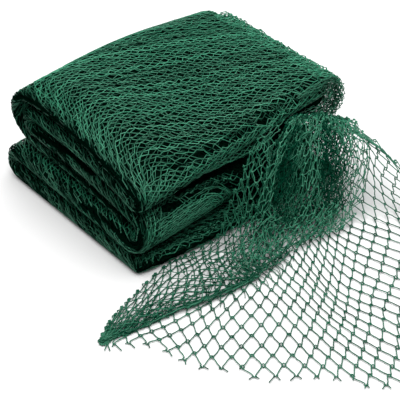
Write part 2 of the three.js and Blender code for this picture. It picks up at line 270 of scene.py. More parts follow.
# A knot as one of its two twines: across the knot, towards the twine's own side, out of the net, swell
loopKnot = np.array([
    [-1.7, 1.6, 0.1, 1.0], [-1.0, 0.4, 0.45, 1.1], [-1.6, -0.7, 0.05, 1.15], [0.0, -1.6, -0.4, 1.15],
    [1.6, -0.7, 0.05, 1.15], [1.0, 0.4, 0.45, 1.1], [1.7, 1.6, 0.1, 1.0]])
plainKnot = np.array([
    [-1.2, 0.35, 0.2, 1.0], [0.0, -0.35, 0.35, 1.9], [1.2, 0.35, 0.2, 1.0]])
bareKnot = np.array([[0.0, -0.15, 0.2, 1.5]])
# The least share that a knot shrinks to, and the bend in mm under which a twine counts as straight
knotFit = {"least": 0.4, "straight": 0.3}


def twinePath(knots, normals, form, side, barPoints, sag, room):
    # one zigzag twine through its knots; a knot shrinks where the net is drawn narrower than room
    before = np.vstack([2 * knots[:1] - knots[1:2], knots[:-1]])
    after = np.vstack([knots[1:], 2 * knots[-1:] - knots[-2:-1]])
    across = unit(after - before)
    size = np.clip(np.linalg.norm(after - before, axis=1) / room, knotFit["least"], 1)[:, None, None]
    towards = (after + before) / 2 - knots
    towards = towards - across * np.sum(towards * across, axis=1, keepdims=True)
    fallback = np.cross(normals, across)
    short = np.linalg.norm(towards, axis=1) < knotFit["straight"]
    towards[short] = fallback[short]
    towards = unit(towards)
    rings = (knots[:, None] + size * (form[None, :, :1] * across[:, None]
             + form[None, :, 1:2] * towards[:, None] + side * form[None, :, 2:3] * normals[:, None]))
    parts, swells, owners = [], [], []
    n = len(knots)
    fractions = (np.arange(barPoints) + 1) / (barPoints + 1)
    bow = 4 * fractions * (1 - fractions)
    for k in range(n):
        parts.append(rings[k])
        swells.append(form[:, 3])
        owners += [k] * len(form)
        if k < n - 1 and barPoints:
            a, b = rings[k, -1], rings[k + 1, 0]
            middle = a + (b - a) * fractions[:, None]
            middle = middle + bow[:, None] * rng.normal(0, sag, (barPoints, 3)) * [1, 1, 0.6]
            parts.append(middle)
            swells.append(np.ones(barPoints))
            owners += [k] * barPoints
    return np.concatenate(parts), np.concatenate(swells), np.array(owners)


def latticeNumbers(columns, rows):
    return np.meshgrid(np.arange(columns), np.arange(rows), indexing="ij")


def latticeNet(points, form, shade, there=None, barPoints=0, sag=0.35, paintedShading=None, room=4, twines=None):
    # points and there are grids over lattice columns and rows; a knot is where column + row is even
    twines = twines or Twines()
    columns, rows = points.shape[:2]
    normals = unit(np.cross(np.gradient(points, axis=0), np.gradient(points, axis=1)))
    there = np.ones((columns, rows), bool) if there is None else there
    paintedShading = np.zeros((columns, rows)) if paintedShading is None else paintedShading
    knotSpread = 0.08
    for start in range(-2, rows + 2, 2):
        for step in (1, -1):
            chain = []
            for k in range(columns + 1):
                m = start + (step if k % 2 else 0)
                if k < columns and 0 <= m < rows and there[k, m]:
                    chain.append((k, m))
                    continue
                if len(chain) > 1:
                    a, b = np.array(chain).T
                    path, swell, owners = twinePath(points[a, b], normals[a, b], form, step,
                                                    barPoints, sag, room)
                    # the offset is painted shade: darker in creases, behind the hanging net and on the left
                    # face
                    colour = rng.normal(*shade) + paintedShading[a, b][owners] + rng.normal(0, knotSpread, len(owners))
                    twines.add(path, swell, colour)
                chain = []
    return twines


# Packet: one folded section of six runs, from the table up to the top and back under it

packet = {"width": 232, "bulge": 2, "inside": 3.4, "insideShare": 0.75, "columns": 47, "runSteps": 48,
          "bendSteps": 12, "leastHeight": 0.6}
# Each run has the heights of its middle at its corners, half its thickness, and where it ends along Y and X
runs = rowsOf(
    "frontLeft frontRight backLeft backRight crown halfFront halfBack front back skew left right",
    (7.5, 7.5, 7.5, 7.5, 0, 7.5, 7.5, 3, 176, 24, -5, 222),
    (25, 31, 29.5, 31, 0, 8, 9, 16, 176, 0, -4, 222),
    (50, 56, 65, 56, 0, 6, 5.8, 16, 156, 0, 4, 196),
    (64, 79, 83, 79, 0, 5.2, 5.5, 15, 156, 0, 4, 226),
    (78, 93, 102, 91, 7, 5.2, 5.5, 15, 155, 0, 1, 233),
    (38, 44.5, 50, 45, 0, 3, 3.6, 30, 155, 0, 5, 210))
topRun = 4
# Soft unevenness: none up to the start height, all of it from the full height
swellStart, swellFull = 15, 100
crossWave = {"height": 1.6, "alongX": 31, "alongY": 37, "phase": 0.6}
slantWave = {"height": 1.2, "length": 47}


def runMiddle(run, along, across):
    lean = 1 - (1 - along) ** 2
    ease = across * across * (3 - 2 * across)
    x = run["left"] + (run["right"] - run["left"]) * across
    y = run["front"] + (run["back"] - run["front"]) * along - run["skew"] * np.sqrt(across) * (1 - along)
    front = run["frontLeft"] + (run["frontRight"] - run["frontLeft"]) * ease
    rear = run["backLeft"] + (run["backRight"] - run["backLeft"]) * ease
    z = front + (rear - front) * lean + run["crown"] * lean * 4 * across * (1 - across)
    lift = np.clip((z - swellStart) / (swellFull - swellStart), 0, 1)
    cross = crossWave["height"] * np.sin(x / crossWave["alongX"] + crossWave["phase"])
    cross = cross * np.sin(y / crossWave["alongY"])
    z = z + lift * (cross + slantWave["height"] * np.sin((x + y) / slantWave["length"]))
    return np.stack([x, y, z], axis=-1)


def packetGrid():
    # stations of the section, each a row of middle points across the packet, and their half thickness
    across = np.linspace(0, 1, packet["columns"])
    runSteps, bendSteps = packet["runSteps"], packet["bendSteps"]
    rows, halves, where = [], [], []
    for index, run in enumerate(runs):
        forward = index % 2 == 0
        for k in range(runSteps + 1):
            along = k / runSteps if forward else 1 - k / runSteps
            half = run["halfFront"] + (run["halfBack"] - run["halfFront"]) * along
            rows.append(runMiddle(run, along, across))
            halves.append(half)
            where.append(index)
        if index + 1 == len(runs):
            break
        after = runs[index + 1]
        side = 1 if forward else -1
        bulge = packet["bulge"] if index == topRun else 0
        end = 1 if forward else 0
        name = "halfBack" if forward else "halfFront"
        start, stop = runMiddle(run, end, across), runMiddle(after, end, across)
        arm = (stop - start) / 2
        centre = start + arm
        reach = np.abs(arm[:, 2]) + bulge
        for k in range(1, bendSteps):
            angle = math.pi * k / bendSteps
            point = centre - arm * math.cos(angle)
            point[:, 1] += side * reach * math.sin(angle)
            rows.append(point)
            halves.append(run[name] + (after[name] - run[name]) * k / bendSteps)
            where.append(index + 0.5)
    grid = np.array(rows)
    normals = unit(np.cross(np.gradient(grid, axis=1), np.gradient(grid, axis=0)))
    steps = np.linalg.norm(np.diff(grid[:, packet["columns"] // 2], axis=0), axis=1)
    length = np.concatenate([[0], np.cumsum(steps)])
    return grid, normals, np.array(halves), np.array(where), length


grid, gridNormals, gridHalves, gridWhere, gridLength = packetGrid()
sectionLength = gridLength[-1]
acrossCount = grid.shape[1]
print("packet section", round(float(sectionLength)), "mm long")


def gridAt(values, s, a):
    # smooth lookup at station length s and share a across
    row = np.interp(s, gridLength, np.arange(len(gridLength)))
    column = np.clip(a, 0, 1) * (acrossCount - 1)
    r0 = np.clip(row.astype(int), 0, len(gridLength) - 2)
    c0 = np.clip(column.astype(int), 0, acrossCount - 2)
    fr, fc = (row - r0)[..., None], (column - c0)[..., None]
    return ((values[r0, c0] * (1 - fr) + values[r0 + 1, c0] * fr) * (1 - fc)
            + (values[r0, c0 + 1] * (1 - fr) + values[r0 + 1, c0 + 1] * fr) * fc)


# Soft troughs of the packet's creases: stations along the section and round it, in mm, and their size. The
# twines are also painted darker in them: painted shade
troughs = rowsOf(
    "name wide deep path",
    ("under the top lip", 1.25, 2.6, [(760, 200), (761, 150), (762, 104), (765, 60), (768, 34)]),
    ("front of the top face", 1.3, 1.2, [(772, 215), (776, 194), (784, 150)]),
    ("under the lens", 3, 5, [(418, 160), (420, 130), (425, 96), (426, 60)]),
    ("over the scroll", 2.2, 4, [(408, 130), (413, 100), (417, 70), (419, 38)]),
    ("under the scroll", 3, 4, [(390, 40), (389, 80), (391, 120)]),
    ("under the top run", 4.6, 6, [(757, 1), (790, 1), (846, 0), (905, -1)]),
    ("upper hollow", 5, 5, [(880, 1), (912, 1), (930, 0)]),
    ("left face, second", 3.4, 4, [(486, 9), (509, 9), (527, 8), (562, 2)]),
    ("left face, third", 3.6, 3, [(1030, -3), (1070, -3), (1112, -3)]),
    ("left face, fourth", 3, 3.4, [(324, -3), (360, -8), (386, -6), (410, 2)]))


def troughAt(s, c):
    # depth of the deepest trough at a place of the skin
    deepest = np.zeros(np.shape(s))
    for trough in troughs:
        for (s0, c0), (s1, c1) in zip(trough["path"], trough["path"][1:]):
            along = ((s - s0) * (s1 - s0) + (c - c0) * (c1 - c0)) / ((s1 - s0) ** 2 + (c1 - c0) ** 2)
            along = np.clip(along, 0, 1)
            apart = np.hypot(s - s0 - along * (s1 - s0), c - c0 - along * (c1 - c0))
            deepest = np.maximum(deepest, trough["deep"] * np.exp(-(apart / trough["wide"]) ** 2))
    return deepest


# Least share of the rounding at the section's ends, step of the sideways direction, least radius in mm
skin = {"endLeast": 0.02, "sideStep": 0.01, "leastRadius": 0.3}


def skinPoint(s, c, depth):
    # point of the packet's skin: s along the section, c round its whole cross-section from the left rim,
    # above 0 over the upper side of even runs and below 0 over the other, depth below the surface
    s, c = np.broadcast_arrays(np.asarray(s, float), np.asarray(c, float))
    half = np.interp(s, gridLength, gridHalves)
    ends = np.minimum(s, sectionLength - s) / half
    close = np.clip(ends, skin["endLeast"], 1)
    half = half * np.sqrt(1 - (1 - close) ** 2)
    width = packet["width"]
    quarter = math.pi * half / 2
    flatPart = width - 2 * half
    total = 2 * quarter + flatPart
    c = (c + total) % (2 * total) - total
    trough = troughAt(s, c)
    side = np.where(c < 0, -1, 1)[..., None]
    c = np.abs(c)
    fromLeft = np.clip(c / quarter, 0, 1) * math.pi / 2
    fromRight = np.clip((c - quarter - flatPart) / quarter, 0, 1) * math.pi / 2
    inset = (half + np.clip(c - quarter, 0, flatPart)) / width
    middle = gridAt(grid, s, inset)
    normal = unit(gridAt(gridNormals, s, inset))
    sideways = unit(gridAt(grid, s, inset + skin["sideStep"]) - gridAt(grid, s, inset - skin["sideStep"]))
    radius = np.maximum(half - depth - trough, skin["leastRadius"])[..., None]
    over = np.where(c < quarter, np.sin(fromLeft), np.cos(fromRight))[..., None]
    out = np.where(c < quarter, -np.cos(fromLeft), np.sin(fromRight))[..., None]
    return middle + side * normal * radius * over + sideways * radius * out


def halfLoop(s):
    half = np.interp(s, gridLength, gridHalves)
    return math.pi * half + packet["width"] - 2 * half


def gridMesh(name, points, material):
    # quads over rows of closed loops, with a face over each end
    rows, columns = points.shape[:2]
    faces = []
    for r in range(rows - 1):
        for c in range(columns):
            d = (c + 1) % columns
            faces.append((r * columns + c, r * columns + d, (r + 1) * columns + d, (r + 1) * columns + c))
    faces.append(tuple(range(columns - 1, -1, -1)))
    faces.append(tuple((rows - 1) * columns + c for c in range(columns)))
    mesh = bpy.data.meshes.new(name)
    mesh.from_pydata(packetToPart(points.reshape(-1, 3)).tolist(), [], faces)
    mesh.update()
    mesh.polygons.foreach_set("use_smooth", [True] * len(mesh.polygons))
    mesh.materials.append(material)
    return addObject(name, mesh)


coreSteps = {"stations": 300, "corner": 5, "flat": 15}


def coreLoop():
    # cross-section loops of the inside, at a depth below the twines; its near-black colour is painted shade
    shares = np.arange(0, coreSteps["stations"] + 1) / coreSteps["stations"]
    stations = np.interp(shares, np.linspace(0, 1, len(gridLength)), gridLength)
    loops = []
    for s in stations:
        half = float(np.interp(s, gridLength, gridHalves))
        quarter = math.pi * half / 2
        total = halfLoop(s)
        c = np.concatenate([np.linspace(0, quarter, coreSteps["corner"])[:-1],
                            np.linspace(quarter, total - quarter, coreSteps["flat"])[:-1],
                            np.linspace(total - quarter, total, coreSteps["corner"])])
        deep = min(packet["inside"], half * packet["insideShare"])
        upper = skinPoint(s, c, deep)
        lower = skinPoint(s, -c, deep)
        loops.append(np.vstack([upper, lower[-2:0:-1]]))
    return np.array(loops)


core = gridMesh("packetInside", coreLoop(), shadeInsideLook)
pieces = [core]
print("packet inside ready")


def addPiece(name, twines, look, material=packetTwine):
    pieces.append(twines.build(name, look["radius"], look.get("sides", 4), material))


def addPieces(name, sheets, netOf, look, material=packetTwine):
    # one piece for each row of a table
    for number, sheet in enumerate(sheets):
        addPiece(f"{name}{number + 1}", netOf(sheet), look, material)


def runStart(run):
    return gridLength[gridWhere == run].min()


def runEnd(run):
    return gridLength[gridWhere == run].max()


# Drawn-together net of the packet: half a cell along and across, and how its rows climb over the left rim
net = {"halfAlong": 4.5, "halfAcross": 2.25, "flatSlope": -0.39, "rimSlope": 2.3, "rimMiddle": 6,
       "rimReach": 26, "lead": 350, "allRound": 300, "past": 5, "endGap": 0.5, "troughPaintedShade": 0.12,
       "shadeSpread": 0.18, "radius": 0.34, "sides": 3}
# How far the rows sway along and round the section, and the mm in which each wave turns
sway = {"along": 2.0, "alongTurn": 23, "slant": 1.5, "slantTurn": 31, "slantRound": 40, "round": 1.6,
        "roundTurn": 19}
# Where the net covers both rims, and where it is painted darker as shade: behind the hanging net and on the
# left face
rimCover = {"left": 24, "right": 12}
behindCurtain = {"from": 122, "to": 145, "below": 560, "darker": 0.8}
leftFace = {"reach": 15, "fade": 6, "darker": 0.42}


def rowCurve(turn):
    # one row of knots right round the cross-section, from below 0 to above 0
    halves = []
    for way in (-1, 1):
        c, s, out = 0.0, 0.0, []
        while abs(c) < net["allRound"]:
            out.append((c, s))
            bend = math.exp(-((c - net["rimMiddle"]) / net["rimReach"]) ** 2)
            slope = net["flatSlope"] + turn + net["rimSlope"] * bend
            step = way * net["halfAlong"] / math.hypot(1, slope)
            c, s = c + step, s + step * slope
        halves.append(out)
    return np.array(halves[0][:0:-1] + halves[1])


# Stations where the net shows over the upper side of even runs, and over the other side
upperZones = [(runEnd(3) - 40, runEnd(4) + 75), (runEnd(1) - 34, runStart(2) + 40), (0, 40)]
lowerZones = [(0, 16), (runEnd(0) - 14, runStart(1) + 14), (runEnd(2) - 14, runStart(3) + 14)]


def packetLayer(layer):
    curve = rowCurve(layer["turn"])
    count = int((sectionLength + 2 * net["lead"]) / net["halfAcross"])
    m = np.arange(count) * net["halfAcross"] - net["lead"]
    s = curve[:, 1][:, None] + m[None] + layer["shift"]
    c = np.repeat(curve[:, :1], count, axis=1) + layer["shift"]
    s = (s + sway["along"] * np.sin(c / sway["alongTurn"] + layer["shift"])
         + sway["slant"] * np.sin(s / sway["slantTurn"] + c / sway["slantRound"]))
    c = c + sway["round"] * np.sin(s / sway["roundTurn"] + layer["shift"])
    s = s + rng.normal(0, layer["jitter"], s.shape)
    c = c + rng.normal(0, layer["jitter"], s.shape)
    reach = halfLoop(np.clip(s, 0, sectionLength))
    shown = (np.abs(c) < rimCover["left"]) | (np.abs(c) > reach - rimCover["right"])
    for low, high in upperZones:
        shown |= (c > 0) & (s > low) & (s < high)
    for low, high in lowerZones:
        shown |= (c < 0) & (s > low) & (s < high)
    shown &= (s > 0) & (s < sectionLength) & (np.abs(c) < reach + net["past"])
    s = np.clip(s, net["endGap"], sectionLength - net["endGap"])
    trough = troughAt(s, c)
    shown &= trough < layer["leave"]
    points = skinPoint(s, c, layer["depth"])
    points[..., 2] = np.maximum(points[..., 2], packet["leastHeight"])
    # painted shade on the twines: darker in creases, behind the hanging net, and on the left face where less
    # light falls
    curtainShade = np.clip((c - behindCurtain["from"]) / (behindCurtain["to"] - behindCurtain["from"]), 0, 1)
    leftFaceShade = np.clip((leftFace["reach"] - np.abs(c)) / leftFace["fade"], 0, 1)
    paintedShading = (-net["troughPaintedShade"] * trough - behindCurtain["darker"] * curtainShade * (s < behindCurtain["below"])
            - leftFace["darker"] * leftFaceShade)
    return latticeNet(points, bareKnot, (layer["shade"], net["shadeSpread"]), shown, paintedShading=paintedShading)


# Layers of the packet's net, from the outside in; each leaves out its twines where a trough is deeper, so the
# painted-shade inside shows there. Their shade falls inwards: painted shade on the deeper layers
layers = rowsOf(
    "depth shift turn jitter shade leave",
    (0.5, 0.0, 0, 0.85, 0.52, 2.4),
    (1.3, 2.3, 0.15, 0.85, -0.06, 3),
    (2.3, 4.9, -0.1, 0.9, -0.5, 9))
addPieces("packetNet", layers, packetLayer, net)
print("packet net ready")

# Scroll: the nested turns of the net's edge on the packet's front, round a middle on the skin, in mm
scroll = {"middle": 400, "left": 22, "right": 92, "least": 1.5, "most": 15, "turns": 12, "depth": -0.2,
          "step": 3.2, "leastTurn": 3, "nose": 1.6, "tall": 1.1, "lean": 0.03, "shade": 0.6,
          "shadeSpread": 0.15, "radius": 0.34}


def scrollNet():
    twines = Twines()
    step = scroll["step"]
    for turn in range(scroll["turns"]):
        radius = scroll["least"] + (scroll["most"] - scroll["least"]) * turn / (scroll["turns"] - 1)
        left = scroll["left"] + rng.uniform(-6, 10)
        right = scroll["right"] + rng.uniform(-4, 4)
        straight = np.arange(left, right, step)
        angle = np.arange(math.pi / 2, -math.pi / 2, -step / max(radius, scroll["leastTurn"]))
        c = np.concatenate([straight, right + scroll["nose"] * radius * np.cos(angle), straight[::-1]])
        s = np.concatenate([np.full(len(straight), radius), radius * np.sin(angle),
                            np.full(len(straight), -radius)])
        s = (scroll["middle"] + s * scroll["tall"] + rng.normal(0, 0.35, len(s))
             + scroll["lean"] * (c - right))
        c = c + rng.normal(0, 0.5, len(c))
        shade = rng.normal(scroll["shade"], scroll["shadeSpread"])
        twines.add(skinPoint(s, c, scroll["depth"]), knottedSwell(len(s)), shade)
    return twines


addPiece("scrollTurns", scrollNet(), scroll)

# Front of the bends: the net drawn out nearly level along them, stations and round the section in mm
frontZones = rowsOf(
    "name low high left right shade",
    ("top lip", 735, 766, 14, 228, 0.36),
    ("lens", 700, 752, 30, 150, 0.3),
    ("scroll", 372, 446, 14, 128, 0.25),
    ("bottom front", 2, 34, 12, 120, 0.15))
front = {"depths": (0.2, 1.0), "halfLong": 4.6, "halfWide": 1.5, "roundSway": 1.2, "roundTurn": 0.4,
         "sway": 2.2, "swayTurn": 0.19, "slope": 0.05, "roundJitter": 0.8, "jitter": 0.4, "endGap": 1,
         "leave": 2.2, "deeperPaintedShade": 0.3, "troughPaintedShade": 0.1, "shadeSpread": 0.18, "radius": 0.34,
         "sides": 3}


def frontNet():
    twines = Twines()
    for zone in frontZones:
        for depth in front["depths"]:
            columns = int((zone["right"] - zone["left"]) / front["halfLong"])
            rows = int((zone["high"] - zone["low"]) / front["halfWide"])
            gk, gm = latticeNumbers(columns, rows)
            c = (zone["left"] + front["halfLong"] * gk
                 + front["roundSway"] * np.sin(gm * front["roundTurn"] + depth * 5))
            s = (zone["low"] + front["halfWide"] * gm
                 + front["sway"] * np.sin(gk * front["swayTurn"] + depth * 3) - front["slope"] * gk)
            c = c + rng.normal(0, front["roundJitter"], c.shape)
            s = s + rng.normal(0, front["jitter"], s.shape)
            s = np.clip(s, front["endGap"], sectionLength - front["endGap"])
            trough = troughAt(s, c)
            points = skinPoint(s, c, depth)
            points[..., 2] = np.maximum(points[..., 2], packet["leastHeight"])
            # deeper layers get painted shade
            shade = zone["shade"] - front["deeperPaintedShade"] * depth
            latticeNet(points, bareKnot, (shade, front["shadeSpread"]), trough < front["leave"],
                       paintedShading=-front["troughPaintedShade"] * trough, twines=twines)
    return twines


addPiece("frontLips", frontNet(), front)

# Lip between the top lip and the scroll: its upper and lower edge along X in mm
lip = {"x": [58, 80, 100, 120, 140, 160], "upper": [71, 72, 73, 74, 75, 76],
       "lower": [67, 64, 60, 56, 53, 52], "back": 17, "bulge": 12, "edge": 0.1, "left": 58, "halfLong": 4.4,
       "columns": 24, "rows": 11, "radius": 0.34}
# the inset layer gets a lower shade: painted shade
lipLayers = rowsOf("inset shade", (0, 0.4), (1.5, 0.1))


def lipNet(layer):
    gk, gm = latticeNumbers(lip["columns"], lip["rows"])
    x = lip["left"] + gk * lip["halfLong"] + rng.normal(0, 0.7, gk.shape)
    v = gm / (lip["rows"] - 1)
    upper, lower = np.interp(x, lip["x"], lip["upper"]), np.interp(x, lip["x"], lip["lower"])
    bulge = np.sin(math.pi * (lip["edge"] + (1 - 2 * lip["edge"]) * v))
    y = lip["back"] - (lip["bulge"] - layer["inset"]) * bulge
    points = np.stack([x, y, upper + (lower - upper) * v], axis=-1) + rng.normal(0, 0.4, gk.shape + (3,))
    return latticeNet(points, bareKnot, (layer["shade"], 0.15))


addPieces("lipNet", lipLayers, lipNet, lip)

# Side wrap: the top run's right edge turned down round the run below, its outside and front end in mm
wrap = {"x": [222, 237, 246, 251, 252, 249, 241, 226], "z": [97.5, 95.5, 90, 79, 67, 57, 50, 47],
        "front": [11, 6, 3, 2, 1, 1, 3, 6], "back": 152, "columns": 28, "rows": 54, "crest": 78,
        "insetOut": 3, "uneven": 0.4, "jitter": 0.7, "radius": 0.4}


def wrapNet(layer):
    inset, shift = layer["inset"], layer["shift"]
    gk, gm = latticeNumbers(wrap["columns"], wrap["rows"])
    t = np.clip((gk + wrap["uneven"] * np.sin(gm * 0.7 + shift)) / (wrap["columns"] - 1), 0, 1)
    place = t * (len(wrap["x"]) - 1)
    steps = np.arange(len(wrap["x"]))
    x, z, front = (np.interp(place, steps, wrap[name]) for name in ("x", "z", "front"))
    share = np.clip((gm + wrap["uneven"] * np.sin(gk * 0.9 + shift)) / (wrap["rows"] - 1), 0, 1)
    y = front + (wrap["back"] - front) * share
    out = wrap["insetOut"] * inset * np.clip(np.sin(math.pi * t), 0, 1)
    points = np.stack([x - out, y, z + np.where(z > wrap["crest"], -inset, inset)], axis=-1)
    points += rng.normal(0, wrap["jitter"], points.shape)
    return latticeNet(points, bareKnot, (layer["shade"], 0.15), barPoints=1, sag=0.6)


# Layers of the side wrap from the outside in; the inner ones get a lower shade: painted shade
wrapLayers = rowsOf(
    "inset shift shade",
    (0, 0.5, 0.75),
    (0.9, 2.0, 0.55),
    (1.8, 4.1, 0.35),
    (2.6, 5.2, 0.2))
addPieces("sideWrap", wrapLayers, wrapNet, wrap)

# Inner turns of the fold that show through the side wrap, a dark body in painted shade: outline round Y, and
# its start and length
hollow = {"x": [200, 218, 234, 243, 247, 245, 237, 222, 200, 190],
          "z": [84, 93, 92, 87, 77, 65, 56, 50, 50, 64], "start": 8, "long": 140, "steps": 24,
          "blunt": 6, "endLeast": 0.02}


def wrapInside():
    turn = np.array([hollow["x"], hollow["z"]], float).T
    loops = []
    for share in np.linspace(0, 1, hollow["steps"]):
        shrink = math.sqrt(max(1 - (2 * share - 1) ** hollow["blunt"], hollow["endLeast"]))
        ring = turn.mean(axis=0) + (turn - turn.mean(axis=0)) * shrink
        y = hollow["start"] + hollow["long"] * share
        loops.append([(x, y, z) for x, z in ring])
    return np.array(loops)


pieces.append(gridMesh("sideWrapInside", wrapInside()[:, ::-1], shadeInsideLook))

# Front end of the side wrap: nested turns of the net's edge, middle and reach in mm, and bars between them
endTurn = {"x": 226, "z": 73, "reach": 25, "turns": 15, "innermost": 0.12, "left": 188, "front": 3,
           "hollow": 4, "step": 3.0, "leastTurn": 3, "lowArm": 16, "lowArmMore": 24, "bars": 70,
           "barLong": 0.16, "barLean": 0.14, "barDepth": 2.5, "radius": 0.38}


def endTurns():
    twines = Twines()
    middleX, step = endTurn["x"], endTurn["step"]
    for turn in range(endTurn["turns"]):
        share = endTurn["innermost"] + (1 - endTurn["innermost"]) * turn / (endTurn["turns"] - 1)
        reach = endTurn["reach"] * share
        top = np.arange(endTurn["left"] + rng.uniform(0, 12), middleX, step)
        lowEnd = middleX - endTurn["lowArm"] - endTurn["lowArmMore"] * rng.uniform(0, 1)
        low = np.arange(middleX, lowEnd, -step)
        angle = np.arange(math.pi / 2, -math.pi / 2, -step / max(reach, endTurn["leastTurn"]))
        x = np.concatenate([top, middleX + reach * np.cos(angle), low])
        z = np.concatenate([np.full(len(top), reach), reach * np.sin(angle), np.full(len(low), -reach)])
        z = endTurn["z"] + z + rng.normal(0, 0.4, len(x))
        y = (endTurn["front"] + endTurn["hollow"] * (1 - share) + rng.uniform(0, 2)
             + rng.normal(0, 0.5, len(x)))
        twines.add(np.stack([x, y, z], axis=1), knottedSwell(len(x)), rng.normal(0.45, 0.2))
    middle = np.array([middleX, endTurn["front"] + endTurn["barDepth"], endTurn["z"]])
    for bar in range(endTurn["bars"]):
        share, angle = rng.uniform(0.2, 0.95), rng.uniform(-1.5, 1.9)
        inner = endTurn["reach"] * share
        outer = endTurn["reach"] * min(share + endTurn["barLong"], 1)
        leant = angle + endTurn["barLean"]
        way = np.array([math.cos(angle), 0, math.sin(angle)])
        lean = np.array([math.cos(leant), 0, math.sin(leant)])
        twines.add(np.stack([middle + way * inner, middle + lean * outer]), 1.0, rng.normal(0.4, 0.2))
    return twines


addPiece("sideWrapEnd", endTurns(), endTurn)
print("side wrap ready")

# Loose end

# Guide knots of the loose net: row and columns of its lattice, and each knot's place in millimetres.
# Most were read off the photo and put on the table by the fitted camera; those past the photo's right edge
# are guessed. A spline fit in another script picked them, and they were then thinned and rounded.
guideRows = rowsOf(
    "row column x y z",
    (2, [14, 22], [63, 112], [-223, -276], 1),
    (1, [9], [40], [-191], 1),
    (0, [-28, -22, -14, -10, -8, -4, 0], [-75, -77, -68, -48, -41, -31, -8],
     [-36, -39, -46, -64, -81, -112, -134], 1),
    (-2, [16], [87], [-195], 1),
    (-4, [24], [140], [-214], 1),
    (-5, [-23, -17, -11, -7, -1, 3, 17, 21], [-38, -30, -21, -2, 23, 48, 102, 128],
     [-19, -31, -45, -62, -90, -108, -172, -181], 1),
    (-10, [-18, -12, -6, 0, 10, 16, 28], [20, 29, 39, 65, 99, 111, 186],
     [-6, -27, -50, -61, -100, -127, -170], 1),
    (-14, [-14, -8, -2, 4, 24], [43, 58, 74, 95, 170], [-9, -24, -39, -51, -112], [2, 1, 1, 1, 1]),
    (-15, [15, 31], [136, 216], [-80, -124], 1),
    (-17, [33], [228], [-106], 1),
    (-18, [-10, -4, 2, 8, 14, 22, 26], [76, 94, 114, 135, 149, 170, 192],
     [-16, -26, -34, -41, -53, -75, -85], [10, 6, 4, 3, 2, 1, 1]),
    (-22, [-6, 6, 18, 28, 34], [99, 132, 170, 205, 231], [-10, -33, -46, -55, -71], [48, 13, 19, 24, 26]),
    (-26, [-2, 6, 14, 24, 32, 38], [126, 146, 169, 195, 235, 241], [-6, -15, -19, -24, -42, -55],
     [70, 52, 56, 54, 47, 44]),
    (-30, [2, 10, 18, 28, 36, 42], [145, 158, 178, 203, 232, 247], [2, -4, -5, -6, -7, -14],
     [76, 68, 66, 62, 53, 48]))


def bendingKernel(a, b):
    d = np.linalg.norm(a[:, None] - b[None], axis=2)
    return np.where(d > 0, d * d * np.log(np.maximum(d, 1e-9)), 0)


def fitWarp(source, target):
    # thin plate spline from lattice numbers to places
    n = len(source)
    system = np.zeros((n + 3, n + 3))
    system[:n, :n] = bendingKernel(source, source)
    system[:n, n] = system[n, :n] = 1
    system[:n, n + 1:] = source
    system[n + 1:, :n] = source.T
    goal = np.zeros((n + 3, 3))
    goal[:n] = target
    return np.linalg.solve(system, goal)


controls = np.concatenate([
    np.stack(np.broadcast_arrays(guide["column"], guide["row"], guide["x"], guide["y"], guide["z"]), axis=1)
    for guide in guideRows]).astype(float)
warpWeights = fitWarp(controls[:, :2], controls[:, 2:])


def warpPoint(i, j):
    flat = np.stack([i.ravel(), j.ravel()], axis=1).astype(float)
    out = bendingKernel(flat, controls[:, :2]) @ warpWeights[:len(controls)]
    out = out + warpWeights[len(controls)] + flat @ warpWeights[len(controls) + 1:]
    return out.reshape(i.shape + (3,))


# Outline of the loose net from above, round from the tip along its cut edge
spreadEdge = np.array([(-84, -37), (-90, -60), (-60, -130), (-20, -200), (40, -260), (112, -284),
                       (268, -140), (246, -82), (250, 20), (100, 14), (30, -4), (-10, -9), (-42, -16)], float)


def insideOutline(outline, x, y):
    hit = np.zeros(np.shape(x), bool)
    for a, b in zip(outline, np.roll(outline, -1, axis=0)):
        crosses = (a[1] > y) != (b[1] > y)
        slope = (b[0] - a[0]) / (b[1] - a[1] if b[1] != a[1] else 1e-9)
        hit ^= crosses & (x < a[0] + (y - a[1]) * slope)
    return hit


# Loose net: columns and rows of its lattice, where it starts, the pleats where it rises, and its twine
loose = {"firstColumn": -30, "columns": 78, "firstRow": -30, "rows": 34, "start": -14, "fullRise": 30,
         "pleat": 3.5, "pleatTurn": 0.9, "jitter": 0.25, "heightJitter": 0.12, "leastHeight": 1.3,
         "shade": (0.35, 0.12), "room": 15, "radius": 0.5, "sides": 5}
# Short twine ends left along the cut edge: where they start, their length and how they stray
cutEnds = {"row": -1, "start": -9, "shortest": 3.5, "longest": 8, "stray": 0.18, "from": 0.12, "rise": 0.2}


